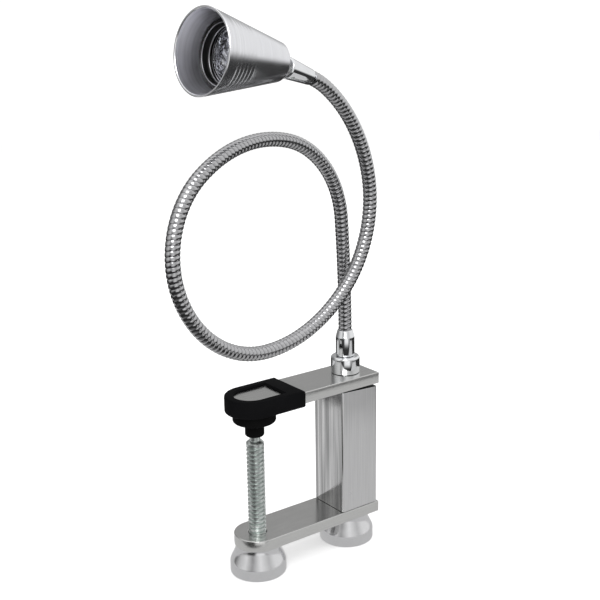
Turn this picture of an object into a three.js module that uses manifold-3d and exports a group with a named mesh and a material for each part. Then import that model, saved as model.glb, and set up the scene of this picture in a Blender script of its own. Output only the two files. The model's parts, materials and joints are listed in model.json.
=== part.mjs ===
// Clamp-on examination lamp: a C-clamp of two flat bars on a square spine, a
// spiral-wound gooseneck curled into one loop, and a turned conical spot head.
// Millimetres, +Z up. The origin is under the rear knob, on the plane that the
// two knobs stand on; the tie rod and the lamp's stem share the Z axis.

import * as THREE from "three";
import { mergeVertices } from "three/addons/utils/BufferGeometryUtils.js";
import Module from "manifold-3d";

const wasm = await Module();
wasm.setup();

// ---------------------------------------------------------------- dimensions

const GAP = 0.3; // between pieces that touch on the real lamp

const BAR = { width: 32, thickness: 8, backX: 17, chamfer: 0.5 };
const SPINE = { depth: 31, height: 89.5, corner: 1.5, topRelief: 1.6, bore: 5.7 };
const KNOB = { radius: 19.2, neck: 15, height: 20.2, band: 8, corner: 0.8, bore: 5.3, floor: 3.2 };
const SCREW = { x: -77.2, radius: 6, bore: 6.3, neck: 3.65, neckLength: 3.9, ball: 4.5, shank: 5 };
const ROD = { radius: 5, bore: 2.9, hole: 5.4, intoCollar: 5.7 };
const ROD_SLOT = { depth: 4, width: 4, height: 7, aboveInlet: 1 }; // lets the lead out to the inlet
const COLLAR = { radius: 10, height: 12, corner: 1.2, foot: 0.5, spigotBore: 4.8, clipBore: 6.8 };
const CLIP = { space: 2.3, below: 3.4, thickness: 0.8, grip: 0.5 }; // the ring that holds the stem in
const STEM = { radius: 6.5, spigot: 4.5, depth: 5.4, lip: 5.3, straight: 14, height: 18.5 };
const HOSE = { radius: 4.6, bore: 3, ball: 4.3, cup: 4.6, cupInset: 2.3, inStem: 10.2 };
const LEAD = { radius: 1.6, play: 0.5, bend: 4.2 };
const SLEEVE = { halfWidth: 17.8, mouthX: -48, wall: 1.8, endX: -79.2, corner: 0.8 };
const WINDOW = { halfWidth: 11.5, rightX: -60.5, endX: -79.2 };
const PAD = { radius: 14.5, thickness: 7.4, corner: 1.5, edge: 0.4 };
const HUB = { radius: 6.45, tip: 4.3, taper: 2.6, height: 10.1, ballDrop: 5.1, shoulder: 2.5, throat: 3.6 };
const INLET = {
  z: 45, bore: 4.2, barrel: 3.9, depth: 8.5, flange: 5.5, flangeOut: 1.3, socket: 2.75, pin: 1,
};

const FERRULE = { narrow: 4.9, wide: 6.6, length: 20.5, corner: 1.5, spigot: 2.6, spigotDepth: 2.5, bore: 2 };
const SET_SCREW = { radius: 1.2, hole: 1.5, inner: 3.5, outer: 5.6, fromEnd: 4, around: 125 };
const BALL = { radius: 5.5, neck: 2.6, reach: 33.2, shank: 2.9, shankFrom: 13 };
const SHADE = { mouth: 25, rim: 1.4, back: 11.9, corner: 1.3, frontZ: 52, backZ: -5.3, wall: 1.9, hole: 6.2 };
const GROOVES = { count: 6, first: 8, pitch: 3.25, depth: 0.45, halfWidth: 0.8 };
const SEAT = { radius: 8, bore: 8.3, back: -3, front: 3.5, nut: 1.4, nutBore: 4.8 };
const LAMP = { rim: 17.4, rimZ: 31, rimDepth: 2.2, glass: 15.6, neck: 6.6, neckZ: 10, wall: 1.4 };
const RETAINER = { height: 6, step: 1.2, lip: 0.9 };
const CAPSULE = { radius: 2.6, wall: 0.6, height: 6, base: 5.6 };
const FILAMENT = { halfWidth: 1.2, leg: 3.5, top: 5, wire: 0.25 };
const PIN = { radius: 0.5, spacing: 4 };
const SOCKET = { radius: 7 };

// Heights that follow from the stack of clamp pieces.
const lowerBarZ = KNOB.height + GAP;
const throatZ = lowerBarZ + BAR.thickness;
const upperBarZ = throatZ + SPINE.height;
const collarZ = upperBarZ + BAR.thickness + GAP;
const collarTopZ = collarZ - GAP + COLLAR.height;
const socketZ = SEAT.front + SEAT.nut + 3 * GAP;
const sleeveBottomZ = upperBarZ - SLEEVE.wall;
const padTopZ = sleeveBottomZ - GAP;
const padBottomZ = padTopZ - PAD.thickness;
const screwBallZ = padBottomZ - HUB.ballDrop;
const clipTopZ = collarTopZ - CLIP.below;
const leadJoinZ = collarTopZ - STEM.depth - 2 * GAP; // where the swivelling lead meets the fixed one

// The gooseneck is a chain of arcs in one upright plane. Each arc has a length
// and the angle it turns through; the last short one runs into the head ferrule.
const LINK = 78.5;
const ARCS = [
  { length: LINK, turn: 4.5 },
  { length: LINK, turn: 71.5 },
  { length: LINK, turn: 48 },
  { length: LINK, turn: 75.5 },
  { length: LINK, turn: 69.5 },
  { length: LINK, turn: 45.5 },
  { length: LINK, turn: 58 },
  { length: 70, turn: 41.5 },
  { length: 16.3, turn: 17 },
];
const LINKS = 8;
const HOSE_START_Z = 156.5;
const HOSE_LENGTH = ARCS.reduce((sum, arc) => sum + arc.length, 0);
const PLANE_ANGLE = 7; // the loop's plane, turned about Z from the bars
const SIDESTEP = { from: 120, to: 420, offset: 18 }; // keeps the crossing strands apart
const SHADE_TILT = 10.5; // the shade's own angle on its ball joint

const rad = THREE.MathUtils.degToRad;
const alongPlane = new THREE.Vector3(Math.cos(rad(PLANE_ANGLE)), Math.sin(rad(PLANE_ANGLE)), 0);
const planeNormal = new THREE.Vector3(Math.sin(rad(PLANE_ANGLE)), -Math.cos(rad(PLANE_ANGLE)), 0);

// ----------------------------------------------------------------- materials

function finish(color, roughness, metalness) {
  return new THREE.MeshStandardMaterial({ color, roughness, metalness });
}

const satinSteel = () => finish(0xa9a9a6, 0.35, 1);
const chrome = () => finish(0xd8d9db, 0.12, 1);
const zincSteel = () => finish(0xb9bbb8, 0.4, 1);
const aluminium = () => finish(0xcdd0d6, 0.3, 1);
const blackPlastic = () => finish(0x0b0b0c, 0.55, 0);
const blackInsulation = () => finish(0x141414, 0.6, 0);
const whiteNylon = () => finish(0xe4e2dc, 0.5, 0);
const ceramic = () => finish(0xe9e4d8, 0.6, 0);
const mirrorGlass = () => finish(0xd3d6da, 0.15, 0.8);
const clearGlass = () => finish(0xe8f0f2, 0.05, 0);
const tungsten = () => finish(0x6f6f72, 0.5, 1);

// ------------------------------------------------------------------- helpers

const lamp = new THREE.Group();

// One closed surface with shared corners, no slivers, and its faces turned out.
function closed(geometry) {
  const bare = geometry.clone();
  bare.deleteAttribute("normal");
  bare.deleteAttribute("uv");
  const merged = mergeVertices(bare, 1e-4);
  const index = Array.from(merged.index.array);
  const kept = [];
  for (let i = 0; i < index.length; i += 3) {
    const [a, b, c] = index.slice(i, i + 3);
    if (a !== b && b !== c && c !== a) kept.push(a, b, c);
  }
  if (volumeOf(merged.attributes.position, kept) < 0) {
    for (let i = 0; i < kept.length; i += 3) {
      [kept[i + 1], kept[i + 2]] = [kept[i + 2], kept[i + 1]];
    }
  }
  merged.setIndex(kept);
  return merged;
}

function volumeOf(position, index) {
  const [a, b, c] = [new THREE.Vector3(), new THREE.Vector3(), new THREE.Vector3()];
  let total = 0;
  for (let i = 0; i < index.length; i += 3) {
    a.fromBufferAttribute(position, index[i]);
    b.fromBufferAttribute(position, index[i + 1]);
    c.fromBufferAttribute(position, index[i + 2]);
    total += a.dot(b.cross(c)) / 6;
  }
  return total;
}

function solid(geometry) {
  const mesh = closed(geometry);
  const vertProperties = new Float32Array(mesh.attributes.position.array);
  const triVerts = new Uint32Array(mesh.index.array);
  return new wasm.Manifold(new wasm.Mesh({ numProp: 3, vertProperties, triVerts }));
}

function fromSolid(body) {
  const mesh = body.getMesh();
  const geometry = new THREE.BufferGeometry();
  geometry.setAttribute("position", new THREE.BufferAttribute(mesh.vertProperties, 3));
  geometry.setIndex(Array.from(mesh.triVerts));
  return geometry;
}

function cut(geometry, ...tools) {
  return fromSolid(tools.reduce((body, tool) => body.subtract(solid(tool)), solid(geometry)));
}

function addPiece(name, geometry, material, parent = lamp) {
  const mesh = new THREE.Mesh(closed(geometry), material);
  mesh.name = name;
  parent.add(mesh);
}

// A profile of [radius, height] points turned about Z.
function turned(profile, segments = 32) {
  const points = profile.map(([radius, height]) => new THREE.Vector2(radius, height));
  const geometry = new THREE.LatheGeometry(points, segments);
  geometry.rotateX(Math.PI / 2);
  return geometry;
}

// A profile whose inside edge is open at both ends closes on its first point.
function turnedRing(profile, segments = 32) {
  return turned([...profile, profile[0]], segments);
}

// Points of a quarter of a circle, or any other arc, in a profile.
function arcPoints(centreR, centreZ, radius, fromDegrees, toDegrees, steps) {
  return Array.from({ length: steps + 1 }, (_, i) => {
    const angle = rad(fromDegrees + ((toDegrees - fromDegrees) * i) / steps);
    return [centreR + radius * Math.cos(angle), centreZ + radius * Math.sin(angle)];
  });
}

function cylinderBetween(radius, low, high, segments = 24) {
  return turned([[0, low], [radius, low], [radius, high], [0, high]], segments);
}

function circleShape(radius) {
  return new THREE.Shape().absarc(0, 0, radius, 0, 2 * Math.PI, false);
}

function addHole(shape, x, y, radius) {
  shape.holes.push(new THREE.Path().absarc(x, y, radius, 0, 2 * Math.PI, true));
}

// The flat outline shared by the bars, the sleeve and its window: square at the
// back, round at the jaw.
function tongueShape(backX, roundX, halfWidth) {
  const shape = new THREE.Shape();
  shape.moveTo(backX, -halfWidth);
  shape.lineTo(backX, halfWidth);
  shape.lineTo(roundX, halfWidth);
  shape.absarc(roundX, 0, halfWidth, Math.PI / 2, (3 * Math.PI) / 2, false);
  return shape;
}

function plate(shape, low, high, chamfer = 0, curveSegments = 12) {
  const geometry = new THREE.ExtrudeGeometry(shape, {
    depth: high - low - 2 * chamfer,
    bevelEnabled: chamfer > 0,
    bevelThickness: chamfer,
    bevelSize: chamfer,
    bevelOffset: -chamfer,
    bevelSegments: 1,
    curveSegments,
  });
  geometry.translate(0, 0, low + chamfer);
  return geometry;
}

// ----------------------------------------------------------- gooseneck curve

// Distance s is measured from the top of the stem. Below 0 the curve runs
// straight down the stem, and past the end it runs straight into the ball joint.
function hosePoint(s) {
  let across = 0;
  let height = HOSE_START_Z;
  let heading = Math.PI / 2;
  let left = s;
  if (s < 0) return planePoint(0, HOSE_START_Z + s, 0);
  for (const arc of ARCS) {
    const run = Math.min(left, arc.length);
    const radius = arc.length / rad(arc.turn);
    const next = heading + run / radius;
    across += radius * (Math.sin(next) - Math.sin(heading));
    height -= radius * (Math.cos(next) - Math.cos(heading));
    heading = next;
    left -= run;
    if (left <= 0) break;
  }
  across += left * Math.cos(heading);
  height += left * Math.sin(heading);
  const t = THREE.MathUtils.smoothstep(s, SIDESTEP.from, SIDESTEP.to);
  return planePoint(across, height, SIDESTEP.offset * t);
}

function planePoint(across, height, aside) {
  const point = alongPlane.clone().multiplyScalar(across);
  point.addScaledVector(planeNormal, aside);
  point.z = height;
  return point;
}

class HoseCurve extends THREE.Curve {
  constructor(from, to) {
    super();
    this.from = from;
    this.to = to;
  }

  getPoint(t, target = new THREE.Vector3()) {
    return target.copy(hosePoint(this.from + (this.to - this.from) * t));
  }
}

function tubeAlong(curve, radius, sides, steps) {
  return new THREE.ExtrudeGeometry(circleShape(radius), {
    extrudePath: curve,
    steps,
    curveSegments: sides / 2,
    bevelEnabled: false,
  });
}

// --------------------------------------------------------------------- clamp

function barShape() {
  return tongueShape(BAR.backX, SCREW.x, BAR.width / 2);
}

function upperBar() {
  const shape = barShape();
  addHole(shape, 0, 0, ROD.hole);
  return plate(shape, upperBarZ, upperBarZ + BAR.thickness, BAR.chamfer);
}

function lowerBar() {
  const shape = barShape();
  addHole(shape, 0, 0, ROD.hole);
  addHole(shape, SCREW.x, 0, SCREW.bore);
  return plate(shape, lowerBarZ, throatZ, BAR.chamfer);
}

function roundedRectangle(depth, width, corner) {
  const [x, y] = [depth / 2 - corner, width / 2 - corner];
  const shape = new THREE.Shape();
  shape.absarc(x, y, corner, 0, Math.PI / 2, false);
  shape.absarc(-x, y, corner, Math.PI / 2, Math.PI, false);
  shape.absarc(-x, -y, corner, Math.PI, 1.5 * Math.PI, false);
  shape.absarc(x, -y, corner, 1.5 * Math.PI, 2 * Math.PI, false);
  return shape;
}

// The block is bored for the tie rod and, from the back, for the power inlet.
// Its top end falls away a little towards the back.
function spine() {
  const shape = roundedRectangle(SPINE.depth, BAR.width, SPINE.corner);
  addHole(shape, 0, 0, SPINE.bore);
  const block = plate(shape, throatZ + GAP, upperBarZ - GAP, 0, 6);
  const inletBore = cylinderBetween(INLET.bore, 2, SPINE.depth);
  inletBore.rotateY(Math.PI / 2);
  inletBore.translate(0, 0, INLET.z);
  const slope = Math.atan2(SPINE.topRelief, SPINE.depth);
  const relief = new THREE.BoxGeometry(80, 60, 20);
  relief.translate(0, 0, 10);
  relief.rotateY(slope);
  relief.translate(0, 0, upperBarZ - GAP - SPINE.topRelief / 2);
  return cut(block, inletBore, relief);
}

function tieRod() {
  const [low, high] = [KNOB.floor + GAP, collarZ + ROD.intoCollar];
  const tube = turnedRing([[ROD.bore, low], [ROD.radius, low], [ROD.radius, high], [ROD.bore, high]], 28);
  const slot = new THREE.BoxGeometry(2 * ROD_SLOT.depth, ROD_SLOT.width, ROD_SLOT.height);
  slot.translate(ROD_SLOT.depth, 0, INLET.z + ROD_SLOT.aboveInlet);
  return cut(tube, slot);
}

function collar() {
  const clipFloor = clipTopZ - CLIP.space;
  return turnedRing([
    [ROD.radius + GAP, collarZ],
    [COLLAR.radius - COLLAR.foot, collarZ],
    [COLLAR.radius, collarZ + COLLAR.foot],
    ...arcPoints(COLLAR.radius - COLLAR.corner, collarTopZ - COLLAR.corner, COLLAR.corner, 0, 90, 3),
    [COLLAR.spigotBore, collarTopZ],
    [COLLAR.spigotBore, clipTopZ],
    [COLLAR.clipBore, clipTopZ],
    [COLLAR.clipBore, clipFloor],
    [ROD.radius + GAP, clipFloor],
  ]);
}

// Mushroom knob: a flared neck under the bar, then a short straight band.
function knob() {
  const steps = 6;
  const flare = Array.from({ length: steps + 1 }, (_, i) => {
    const t = i / steps;
    const fall = Math.sin((Math.PI / 2) * t) ** 1.3;
    return [KNOB.radius - (KNOB.radius - KNOB.neck) * fall, KNOB.band + (KNOB.height - KNOB.band) * t];
  });
  return turned([
    [0, 0],
    [KNOB.radius - KNOB.corner, 0],
    [KNOB.radius, KNOB.corner],
    ...flare,
    [KNOB.bore, KNOB.height],
    [KNOB.bore, KNOB.floor],
    [0, KNOB.floor],
  ], 36);
}

function clampSpindle() {
  const neckStart = padBottomZ - HUB.height - SCREW.neckLength;
  const ballFrom = -Math.acos(SCREW.neck / SCREW.ball) * THREE.MathUtils.RAD2DEG;
  return turned([
    [0, KNOB.floor + GAP],
    [SCREW.shank, KNOB.floor + GAP],
    [SCREW.shank, KNOB.height + GAP],
    [SCREW.radius, KNOB.height + GAP],
    [SCREW.radius, neckStart - 1],
    [SCREW.radius - 1, neckStart],
    [SCREW.neck, neckStart],
    ...arcPoints(0, screwBallZ, SCREW.ball, ballFrom, 90, 6),
  ], 24);
}

function padHub() {
  const low = padBottomZ - HUB.height;
  return turnedRing([
    [SCREW.neck + GAP, low],
    [HUB.tip, low],
    [HUB.radius, low + HUB.taper],
    [HUB.radius, padBottomZ - GAP],
    [SCREW.ball + GAP, padBottomZ - GAP],
    [SCREW.ball + GAP, screwBallZ - HUB.shoulder],
    [SCREW.neck + GAP, screwBallZ - HUB.throat],
  ], 28);
}

function padDisc() {
  return turned([
    [0, padBottomZ],
    ...arcPoints(PAD.radius - PAD.corner, padBottomZ + PAD.corner, PAD.corner, -90, 0, 3),
    [PAD.radius, padTopZ - PAD.edge],
    [PAD.radius - PAD.edge, padTopZ],
    [0, padTopZ],
  ], 36);
}

// A moulded cap on the bar's jaw end, with a window in its top.
function jawSleeve() {
  const low = sleeveBottomZ;
  const high = upperBarZ + BAR.thickness + SLEEVE.wall;
  const outline = tongueShape(SLEEVE.mouthX, SLEEVE.endX, SLEEVE.halfWidth);
  const outside = plate(outline, low, high, SLEEVE.corner, 14);
  const pocketShape = tongueShape(0, SCREW.x, BAR.width / 2 + GAP);
  const pocket = plate(pocketShape, upperBarZ - GAP, upperBarZ + BAR.thickness + GAP, 0, 14);
  const windowShape = tongueShape(WINDOW.rightX, WINDOW.endX, WINDOW.halfWidth);
  const opening = plate(windowShape, upperBarZ + BAR.thickness / 2, high + SLEEVE.wall);
  return cut(outside, pocket, opening);
}

// A barrel jack in the back of the spine, with its centre contact.
function powerInlet() {
  const back = SPINE.depth / 2;
  const front = back - INLET.depth;
  const socketFloor = front + 1.5;
  const jack = turned([
    [0, front],
    [INLET.barrel, front],
    [INLET.barrel, back + GAP],
    [INLET.flange, back + GAP],
    [INLET.flange, back + INLET.flangeOut],
    [INLET.socket, back + INLET.flangeOut],
    [INLET.socket, socketFloor],
    [INLET.pin, socketFloor],
    [INLET.pin, back],
    [0, back],
  ], 24);
  jack.rotateY(Math.PI / 2);
  jack.translate(0, 0, INLET.z);
  return jack;
}

function inletLead() {
  const path = new THREE.CurvePath();
  const top = new THREE.Vector3(0, 0, leadJoinZ - GAP);
  const bendStart = new THREE.Vector3(0, 0, INLET.z + LEAD.bend);
  const bendEnd = new THREE.Vector3(LEAD.bend, 0, INLET.z);
  const end = new THREE.Vector3(SPINE.depth / 2 - INLET.depth - GAP, 0, INLET.z);
  path.add(new THREE.LineCurve3(top, bendStart));
  path.add(new THREE.QuadraticBezierCurve3(bendStart, new THREE.Vector3(0, 0, INLET.z), bendEnd));
  path.add(new THREE.LineCurve3(bendEnd, end));
  return tubeAlong(path, LEAD.radius, 8, 24);
}

function buildClamp() {
  addPiece("upper_bar", upperBar(), satinSteel());
  addPiece("lower_bar", lowerBar(), satinSteel());
  addPiece("spine", spine(), satinSteel());
  addPiece("tie_rod", tieRod(), zincSteel());
  addPiece("collar", collar(), chrome());
  addPiece("jaw_sleeve", jawSleeve(), blackPlastic());
  addPiece("power_inlet", powerInlet(), blackPlastic());
  addPiece("inlet_lead", inletLead(), blackInsulation());
  addPiece("rear_knob", knob(), chrome());
  const screwAxis = new THREE.Group();
  screwAxis.position.x = SCREW.x;
  lamp.add(screwAxis);
  addPiece("clamp_knob", knob(), chrome(), screwAxis);
  addPiece("clamp_spindle", clampSpindle(), zincSteel(), screwAxis);
  addPiece("pad_hub", padHub(), blackPlastic(), screwAxis);
  addPiece("pad_disc", padDisc(), blackPlastic(), screwAxis);
}

// ------------------------------------------------------------ stem and arm

function stemFerrule() {
  const low = collarTopZ - STEM.depth;
  const grooveLow = clipTopZ - 2 * CLIP.thickness;
  const grooveHigh = clipTopZ;
  const groove = STEM.spigot - CLIP.grip - GAP;
  const top = collarTopZ + STEM.height;
  const hoseFloor = HOSE_START_Z - HOSE.inStem - GAP;
  return turnedRing([
    [LEAD.radius + LEAD.play, low],
    [STEM.spigot, low],
    [STEM.spigot, grooveLow],
    [groove, grooveLow],
    [groove, grooveHigh],
    [STEM.spigot, grooveHigh],
    [STEM.spigot, collarTopZ + GAP],
    [STEM.radius, collarTopZ + GAP],
    [STEM.radius, collarTopZ + STEM.straight],
    [STEM.lip, top],
    [HOSE.radius + GAP, top],
    [HOSE.radius + GAP, hoseFloor],
    [LEAD.radius + LEAD.play, hoseFloor],
  ], 28);
}

function stemClip() {
  const high = clipTopZ - GAP;
  const low = high - CLIP.thickness;
  const [inside, outside] = [STEM.spigot - CLIP.grip, COLLAR.clipBore - GAP];
  return turnedRing([[inside, low], [outside, low], [outside, high], [inside, high]], 24);
}

// Each link is a tube with a ball at its start that sits in a cup in the end of
// the link before it, so the chain bends without opening a gap.
function hoseLink(number) {
  const start = (number - 1) * LINK;
  const first = number === 1;
  const last = number === LINKS;
  const end = last ? HOSE_LENGTH - GAP : start + LINK;
  const from = first ? -HOSE.inStem : start;
  const to = last ? end : end - HOSE.cupInset;
  let body = solid(tubeAlong(new HoseCurve(from, to), HOSE.radius, 14, 9));
  if (!first) {
    body = body.add(solid(sphereAt(hosePoint(start), HOSE.ball)));
  }
  if (!last) {
    body = body.subtract(solid(sphereAt(hosePoint(end), HOSE.cup)));
  }
  const bore = tubeAlong(new HoseCurve(from - HOSE.radius, end + HOSE.radius), HOSE.bore, 8, 11);
  return fromSolid(body.subtract(solid(bore)));
}

function sphereAt(centre, radius) {
  const sphere = new THREE.SphereGeometry(radius, 12, 10);
  sphere.translate(centre.x, centre.y, centre.z);
  return sphere;
}

function leadPiece(number) {
  const start = (number - 1) * LINK;
  const from = number === 1 ? leadJoinZ - HOSE_START_Z : start - HOSE.cupInset;
  const to = number === LINKS ? HOSE_LENGTH + BALL.reach + BALL.radius - 1 : start + LINK - HOSE.ball;
  const steps = Math.round((to - from) / 7);
  return tubeAlong(new HoseCurve(from, to), LEAD.radius, 8, steps);
}

function buildArm() {
  addPiece("stem_ferrule", stemFerrule(), chrome());
  addPiece("stem_clip", stemClip(), zincSteel());
  for (let number = 1; number <= LINKS; number += 1) {
    addPiece(`hose_${number}`, hoseLink(number), chrome());
    addPiece(`lead_${number}`, leadPiece(number), blackInsulation());
  }
}

// ---------------------------------------------------------------------- head

// A group whose +Z points along the direction and whose +Y is the plane's normal.
function aimedGroup(origin, direction) {
  const group = new THREE.Group();
  const side = planeNormal.clone().cross(direction).normalize();
  group.setRotationFromMatrix(new THREE.Matrix4().makeBasis(side, planeNormal, direction));
  group.position.copy(origin);
  lamp.add(group);
  return group;
}

function headFerrule() {
  const body = turnedRing([
    [FERRULE.bore, -FERRULE.spigotDepth],
    [FERRULE.spigot, -FERRULE.spigotDepth],
    [FERRULE.spigot, 0],
    [FERRULE.narrow, 0],
    [FERRULE.wide, FERRULE.length - FERRULE.corner],
    ...arcPoints(FERRULE.wide - FERRULE.corner, FERRULE.length - FERRULE.corner, FERRULE.corner, 15, 90, 3),
    [BALL.shank + GAP, FERRULE.length],
    [BALL.shank + GAP, BALL.shankFrom],
    [FERRULE.bore, BALL.shankFrom],
  ], 28);
  return cut(body, setScrewShape(SET_SCREW.hole, BALL.shank, FERRULE.wide + 1));
}

// The set screw enters the ferrule from its underside.
function setScrewShape(radius, inner, outer) {
  const shape = cylinderBetween(radius, inner, outer, 12);
  shape.rotateX(Math.PI / 2);
  shape.rotateZ(rad(SET_SCREW.around));
  shape.translate(0, 0, FERRULE.length - SET_SCREW.fromEnd);
  return shape;
}

function ballStud() {
  const low = BALL.shankFrom + GAP;
  const neckAngle = -Math.acos(BALL.neck / BALL.radius) * THREE.MathUtils.RAD2DEG;
  const frontAngle = Math.acos(FERRULE.bore / BALL.radius) * THREE.MathUtils.RAD2DEG;
  return turnedRing([
    [FERRULE.bore, low],
    [BALL.shank, low],
    [BALL.shank, FERRULE.length + 1],
    [BALL.neck, FERRULE.length + 1.6],
    ...arcPoints(0, BALL.reach, BALL.radius, neckAngle, frontAngle, 8),
  ], 24);
}

function ballSeat() {
  const bore = BALL.radius + GAP;
  const fromAngle = Math.asin(SEAT.front / bore) * THREE.MathUtils.RAD2DEG;
  const toAngle = Math.asin(SEAT.back / bore) * THREE.MathUtils.RAD2DEG;
  return turnedRing([
    [SEAT.radius, SEAT.back],
    [SEAT.radius, SEAT.front],
    ...arcPoints(0, 0, bore, fromAngle, toAngle, 5),
  ], 24);
}

function seatNut() {
  const low = SEAT.front + GAP;
  const high = low + SEAT.nut;
  return turnedRing([[SEAT.nutBore, low], [SEAT.radius, low], [SEAT.radius, high], [SEAT.nutBore, high]], 24);
}

function shadeRadius(z) {
  const coneStart = SHADE.backZ + SHADE.corner;
  return SHADE.back + ((SHADE.mouth - SHADE.back) * (z - coneStart)) / (SHADE.frontZ - coneStart);
}

// A spun cone with turned grooves round its front half. The thick back holds
// the seat of the ball joint.
function shade() {
  const outside = [];
  for (let i = GROOVES.count - 1; i >= 0; i -= 1) {
    const z = SHADE.frontZ - GROOVES.first - GROOVES.pitch * i;
    outside.push([shadeRadius(z - GROOVES.halfWidth), z - GROOVES.halfWidth]);
    outside.push([shadeRadius(z) - GROOVES.depth, z]);
    outside.push([shadeRadius(z + GROOVES.halfWidth), z + GROOVES.halfWidth]);
  }
  const floor = SEAT.front + SEAT.nut + 2 * GAP;
  return turnedRing([
    [SHADE.hole, SHADE.backZ],
    ...arcPoints(SHADE.back - SHADE.corner, SHADE.backZ + SHADE.corner, SHADE.corner, -90, 0, 3),
    ...outside,
    [SHADE.mouth, SHADE.frontZ],
    [SHADE.mouth - SHADE.rim, SHADE.frontZ],
    [shadeRadius(floor + 1) - SHADE.wall, floor + 1],
    [shadeRadius(floor) - SHADE.wall - 1, floor],
    [SEAT.bore, floor],
    [SEAT.bore, SEAT.back - GAP],
    [SHADE.hole, SEAT.back - GAP],
  ], 36);
}

function lampRetainer() {
  const low = LAMP.rimZ + GAP;
  const step = low + RETAINER.step;
  const high = low + RETAINER.height;
  const inside = (z) => shadeRadius(z) - SHADE.wall;
  return turnedRing([
    [LAMP.rim - RETAINER.lip, low],
    [inside(low), low],
    [inside(high), high],
    [LAMP.rim, high],
    [LAMP.rim, step],
  ], 32);
}

function lampReflector() {
  const steps = 5;
  const top = LAMP.rimZ - LAMP.rimDepth;
  const foot = LAMP.neckZ + CAPSULE.base - 2 * GAP;
  const bowl = (radius, footRadius) => Array.from({ length: steps + 1 }, (_, i) => {
    const t = i / steps;
    return [radius + (footRadius - radius) * t ** 1.6, top + (foot - top) * t];
  });
  const neckBore = LAMP.neck - LAMP.wall;
  return turnedRing([
    [LAMP.rim, LAMP.rimZ],
    ...bowl(LAMP.rim, LAMP.neck),
    [LAMP.neck, LAMP.neckZ],
    [neckBore, LAMP.neckZ],
    ...bowl(LAMP.glass - 2 * GAP, neckBore).reverse(),
    [LAMP.glass + GAP, top],
    [LAMP.glass + GAP, LAMP.rimZ],
  ], 28);
}

function lampCoverGlass() {
  const low = LAMP.rimZ - LAMP.rimDepth + GAP;
  return cylinderBetween(LAMP.glass, low, low + 1.2, 28);
}

function lampBase() {
  const radius = LAMP.neck - LAMP.wall - GAP;
  return cylinderBetween(radius, LAMP.neckZ - GAP, LAMP.neckZ + CAPSULE.base, 20);
}

function lampCapsule() {
  const low = LAMP.neckZ + CAPSULE.base + GAP;
  const top = low + CAPSULE.height;
  const inside = CAPSULE.radius - CAPSULE.wall;
  return turned([
    [inside, low],
    [CAPSULE.radius, low],
    ...arcPoints(0, top, CAPSULE.radius, 0, 90, 3),
    ...arcPoints(0, top, inside, 90, 0, 3),
    [inside, low],
  ], 14);
}

function lampFilament() {
  const low = LAMP.neckZ + CAPSULE.base + GAP;
  const { halfWidth, leg, top, wire } = FILAMENT;
  const path = new THREE.CatmullRomCurve3([
    new THREE.Vector3(-halfWidth, 0, low),
    new THREE.Vector3(-halfWidth, 0, low + leg),
    new THREE.Vector3(0, 0, low + top),
    new THREE.Vector3(halfWidth, 0, low + leg),
    new THREE.Vector3(halfWidth, 0, low),
  ]);
  return tubeAlong(path, wire, 6, 12);
}

function lampPin(side) {
  const pin = cylinderBetween(PIN.radius, socketZ + PIN.radius, LAMP.neckZ - 2 * GAP, 10);
  pin.translate((side * PIN.spacing) / 2, 0, 0);
  return pin;
}

function lampSocket() {
  const block = cylinderBetween(SOCKET.radius, socketZ, LAMP.neckZ - 2 * GAP, 24);
  const holes = [-1, 1].map((side) => {
    const hole = cylinderBetween(PIN.radius + GAP, 0, LAMP.rimZ, 10);
    hole.translate((side * PIN.spacing) / 2, 0, 0);
    return hole;
  });
  return cut(block, ...holes);
}

function buildHead() {
  const hoseEnd = hosePoint(HOSE_LENGTH);
  const aim = hosePoint(HOSE_LENGTH + 1).sub(hoseEnd).normalize();
  const ferrule = aimedGroup(hoseEnd, aim);
  addPiece("head_ferrule", headFerrule(), chrome(), ferrule);
  const setScrew = setScrewShape(SET_SCREW.radius, SET_SCREW.inner, SET_SCREW.outer);
  addPiece("ferrule_set_screw", setScrew, zincSteel(), ferrule);
  addPiece("ball_stud", ballStud(), chrome(), ferrule);

  const ballCentre = hosePoint(HOSE_LENGTH + BALL.reach);
  const shadeAim = aim.clone().applyAxisAngle(planeNormal, rad(SHADE_TILT));
  const head = aimedGroup(ballCentre, shadeAim);
  addPiece("ball_seat", ballSeat(), whiteNylon(), head);
  addPiece("seat_nut", seatNut(), aluminium(), head);
  addPiece("shade", shade(), aluminium(), head);
  addPiece("lamp_retainer", lampRetainer(), blackPlastic(), head);
  addPiece("lamp_reflector", lampReflector(), mirrorGlass(), head);
  addPiece("lamp_cover_glass", lampCoverGlass(), clearGlass(), head);
  addPiece("lamp_base", lampBase(), ceramic(), head);
  addPiece("lamp_capsule", lampCapsule(), clearGlass(), head);
  addPiece("lamp_filament", lampFilament(), tungsten(), head);
  addPiece("lamp_pin_left", lampPin(-1), zincSteel(), head);
  addPiece("lamp_pin_right", lampPin(1), zincSteel(), head);
  addPiece("lamp_socket", lampSocket(), ceramic(), head);
}

buildClamp();
buildArm();
buildHead();

export default lamp;
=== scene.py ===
"""Looks of a clamp-on examination lamp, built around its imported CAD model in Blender 4.5.

The frame is the CAD's: the origin is under the rear knob, +Z is up and -X points along
the bars to the jaw. Shapes below are drawn in millimetres, and the mesh helpers turn
them into metres. Places come from the CAD nodes' boxes and the record's joints.
"""

import json
import math
import random

import bpy
from mathutils import Matrix, Vector


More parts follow.
